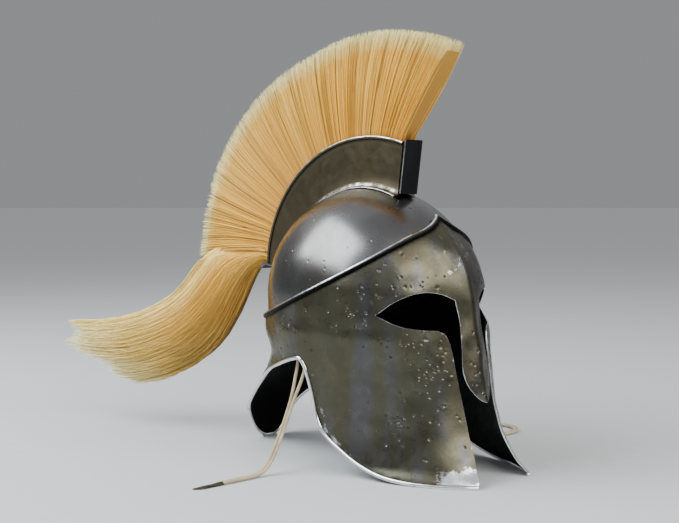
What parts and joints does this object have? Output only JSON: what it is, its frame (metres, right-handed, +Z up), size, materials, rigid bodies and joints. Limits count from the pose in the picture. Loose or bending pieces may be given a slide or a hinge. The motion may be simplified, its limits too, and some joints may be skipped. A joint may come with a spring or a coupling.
{
  "type": "crested greek helmet",
  "caption": "Crested Greek helmet of dark steel, with brow, nose and cheek guards, a flared neck guard, a boxed horsehair crest with a long tail, and chin ties.",
  "frame": {"origin": "on the surface that the helmet stands on, under the middle of its box, chin ties left out", "axes": "+Z up, the helmet faces -Y, +X towards the wearer's left"},
  "size_m": [0.4756, 0.6183, 0.4567],
  "materials": {
    "skull_steel": "smooth dark steel, glossy",
    "hammered_steel": "hammered dark steel with brighter raw edges",
    "crest_steel": "satin brown-black steel, lightly grained",
    "black_steel": "blackened steel",
    "horsehair": "tan horsehair, paler at the tips",
    "cord": "twisted tan cord",
    "leather": "dark stiff leather"
  },
  "bodies": {
    "root": {"skull": "skull_steel", "mask": "hammered_steel", "crest_side_right": "crest_steel", "crest_side_left": "crest_steel", "crest_front": "black_steel", "crest_back": "black_steel", "crest_hair": "horsehair", "crest_tail": "horsehair", "tie_staple_right": "black_steel", "tie_staple_left": "black_steel", "tie_strand_right_fore": "cord", "tie_strand_right_aft": "cord", "tie_strand_left_fore": "cord", "tie_strand_left_aft": "cord", "tie_end_right": "leather", "tie_end_left": "leather"}
  },
  "joints": []
}
